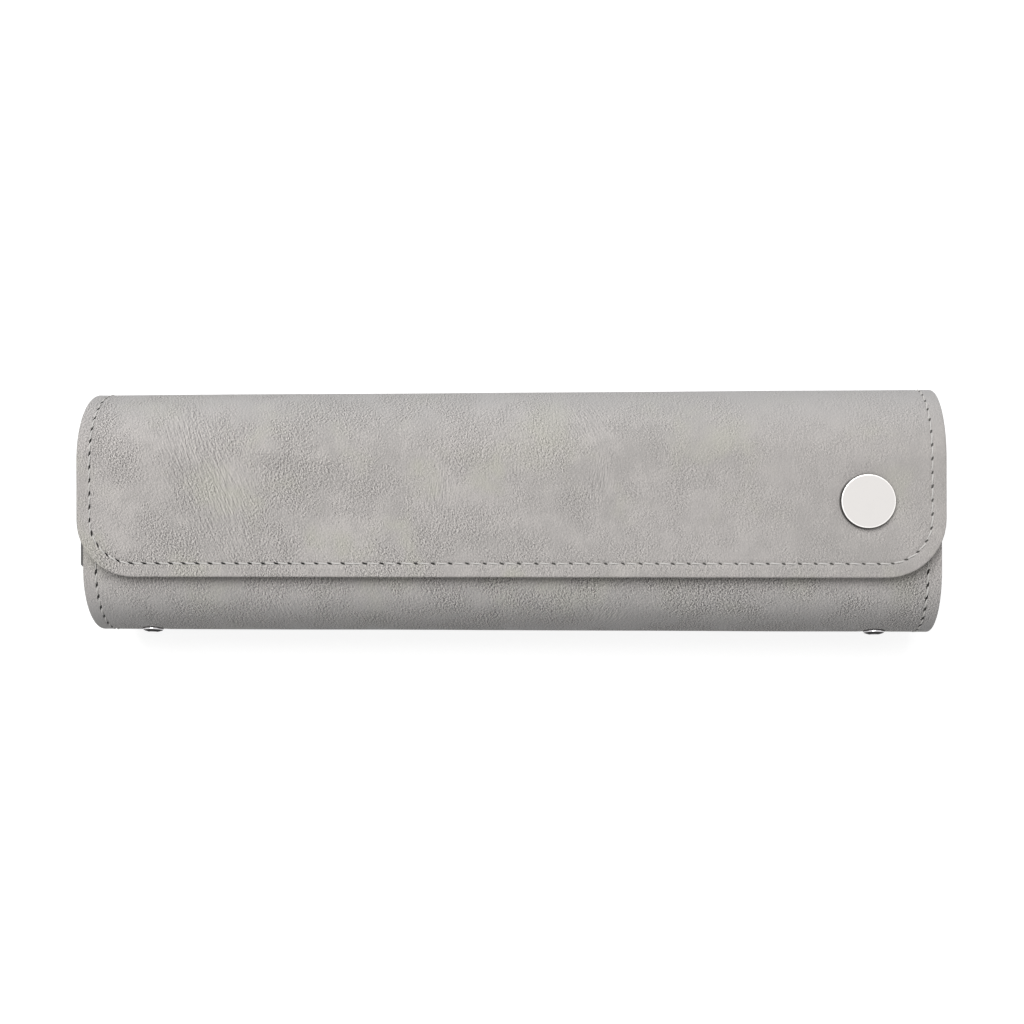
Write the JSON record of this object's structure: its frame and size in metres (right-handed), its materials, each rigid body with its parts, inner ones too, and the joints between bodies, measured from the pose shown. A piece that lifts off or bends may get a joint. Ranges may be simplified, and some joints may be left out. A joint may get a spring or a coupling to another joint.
{
  "type": "toothbrush travel case",
  "caption": "Long soft wrap case with a flap and one magnetic snap; both panels fold open over a moulded tray that holds an electric toothbrush and spare heads.",
  "frame": {"origin": "middle of the flat back, on the surface it lies on", "axes": "+X along the case to the snap end, +Y to the top fold, +Z out through the flap"},
  "size_m": [0.2409, 0.0698, 0.043],
  "materials": {
    "leather": "matt nubuck-like, warm light grey",
    "board": "matt dark grey sheet",
    "foam": "thin closed-cell foam",
    "lining": "short-pile grey lining",
    "tray": "moulded, fine satin texture",
    "insert": "moulded, soft flocked surface",
    "rivets": "polished",
    "snap": "satin nickel plate",
    "magnet": "nickel-plated magnet"
  },
  "bodies": {
    "base": {"base_leather": "leather", "back_board": "board", "bottom_foam": "foam", "spine_foam": "foam", "base_lining": "lining", "tray": "tray", "brush_insert": "insert", "rivet_caps": "rivets", "rivet_backs": "rivets"},
    "front_panel": {"front_leather": "leather", "front_board": "board", "front_foam": "foam", "front_lining": "lining", "keeper": "snap", "keeper_washer": "snap"},
    "flap": {"flap_leather": "leather", "flap_board": "board", "flap_foam": "foam", "flap_lining": "lining", "snap_cap": "snap", "magnet_cover": "snap", "snap_magnet": "magnet"}
  },
  "joints": [
    {"name": "flap_fold", "type": "hinge", "parent": "base", "child": "flap", "pos_m": [0, 0.0348, 0.021], "axis": [-1, 0, 0], "range_deg": [0, 170]},
    {"name": "front_fold", "type": "hinge", "parent": "base", "child": "front_panel", "pos_m": [0, -0.03121, 0.02955], "axis": [1, 0, 0], "range_deg": [0, 111]}
  ],
  "couplings": [
    {"joint": "front_fold", "follows": "flap_fold", "ratio": 0.65}
  ]
}
